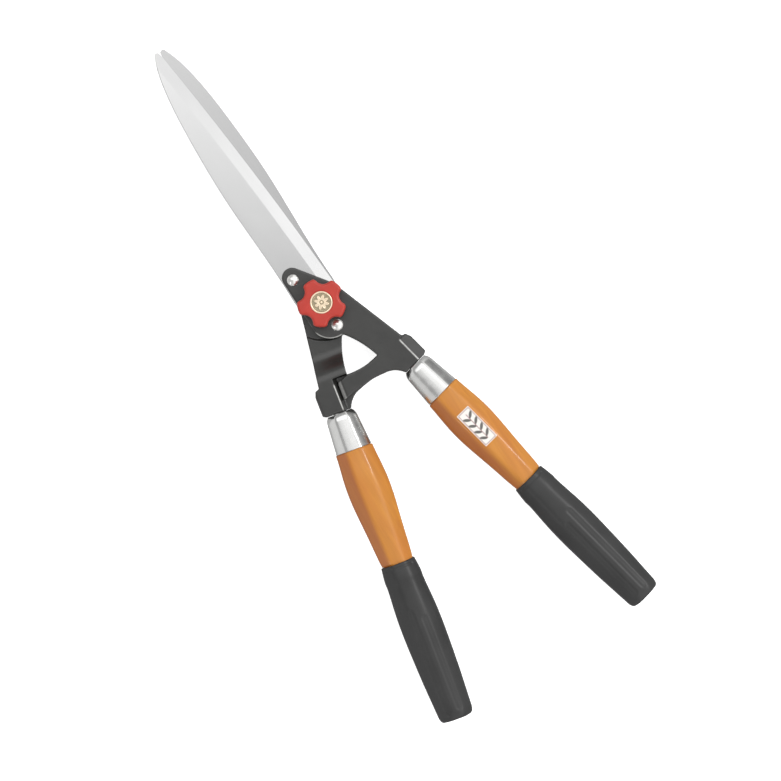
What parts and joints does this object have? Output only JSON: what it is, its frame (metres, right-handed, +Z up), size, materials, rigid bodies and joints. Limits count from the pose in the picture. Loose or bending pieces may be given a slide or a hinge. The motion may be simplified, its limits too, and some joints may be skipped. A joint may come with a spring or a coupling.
{
  "type": "hedge shears",
  "caption": "Hand hedge shears with two riveted blades on forged arms, stop horns, ferruled wooden handles with rubber grips and a lobed tension knob on the pivot.",
  "frame": {"origin": "on the pivot axis, at the flat face of the pivot bolt's head, which is the plane the shears rest on", "axes": "+Z up along the pivot axis towards the knob, +Y towards the blade tips, +X towards the upper half's handle"},
  "size_m": [0.199, 0.5609, 0.0368],
  "materials": {
    "blade_steel": "ground flat and polished",
    "arm_paint": "black semi-gloss paint over forged steel",
    "rivet_steel": "bright domed heads",
    "ferrule_alu": "bright polished",
    "handle_wood": "orange-brown gloss varnish",
    "grip_rubber": "dull black",
    "zinc_steel": "zinc plated",
    "bush_brass": "turned",
    "knob_plastic": "moulded red",
    "medallion_metal": "stamped, pale gold rim with darker field",
    "label_paper": "printed white sticker"
  },
  "bodies": {
    "lower_half": {"rear_blade": "blade_steel", "rear_arm": "arm_paint", "rear_rivets": "rivet_steel", "left_ferrule": "ferrule_alu", "left_handle": "handle_wood", "left_grip": "grip_rubber", "pivot_bolt": "zinc_steel", "bolt_head_washer": "zinc_steel", "spring_washer": "zinc_steel"},
    "upper_half": {"front_blade": "blade_steel", "front_arm": "arm_paint", "front_rivets": "rivet_steel", "right_ferrule": "ferrule_alu", "right_handle": "handle_wood", "right_grip": "grip_rubber", "pivot_bush": "bush_brass", "handle_label": "label_paper"},
    "pressure_washer": {"thrust_washer": "zinc_steel"},
    "knob": {"tension_knob": "knob_plastic", "knob_nut": "zinc_steel", "knob_medallion": "medallion_metal"}
  },
  "joints": [
    {"name": "blade_pivot", "type": "hinge", "parent": "lower_half", "child": "upper_half", "pos_m": [0, 0, 0.015], "axis": [0, 0, 1], "range_deg": [0, 70]},
    {"name": "knob_lift", "type": "slide", "parent": "lower_half", "child": "pressure_washer", "axis": [0, 0, 1], "range_m": [0, 0.0009375], "deforming": ["spring_washer"]},
    {"name": "knob_turn", "type": "hinge", "parent": "pressure_washer", "child": "knob", "pos_m": [0, 0, 0.028], "axis": [0, 0, 1], "range_deg": [0, 270]}
  ],
  "couplings": [
    {"joint": "knob_lift", "follows": "knob_turn", "m_per_rad": 0.00019894}
  ]
}
